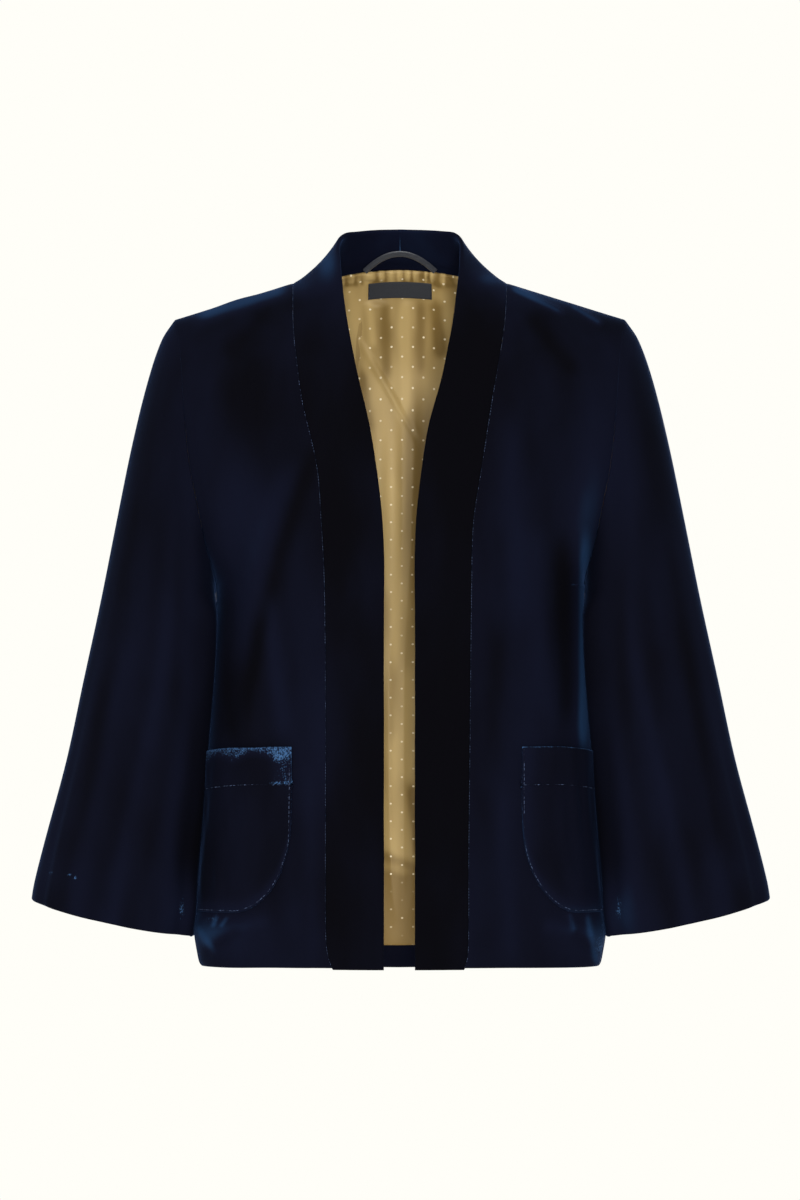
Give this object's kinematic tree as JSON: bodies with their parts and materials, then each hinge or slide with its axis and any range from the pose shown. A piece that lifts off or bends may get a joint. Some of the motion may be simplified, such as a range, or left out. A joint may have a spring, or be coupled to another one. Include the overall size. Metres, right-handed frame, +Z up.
{
  "type": "open-front velvet jacket",
  "caption": "Open-front velvet jacket in its worn hollow shape, with a standing collar band, wide three-quarter sleeves, patch pockets and a dotted satin back lining",
  "frame": {"origin": "midway between the two points where the shoulder seams meet the collar band, where the wearer's neck and shoulders hold the jacket up", "axes": "+Z up along the body, the front faces -Y, +X to the right as seen from the front"},
  "size_m": [0.641, 0.2231, 0.6484],
  "materials": {
    "velvet": "midnight-blue silk-look pile velvet with a blue sheen at grazing angles",
    "lining": "old-gold satin with small woven cream dots",
    "ribbon": "dark grey satin ribbon",
    "label": "charcoal woven label, bare"
  },
  "bodies": {
    "root": {"front_left": "velvet", "front_right": "velvet", "back": "velvet", "sleeve_left": "velvet", "sleeve_right": "velvet", "band_left": "velvet", "band_right": "velvet", "pocket_left": "velvet", "pocket_right": "velvet", "lining_back": "lining", "hanging_loop": "ribbon", "label": "label"}
  },
  "joints": []
}
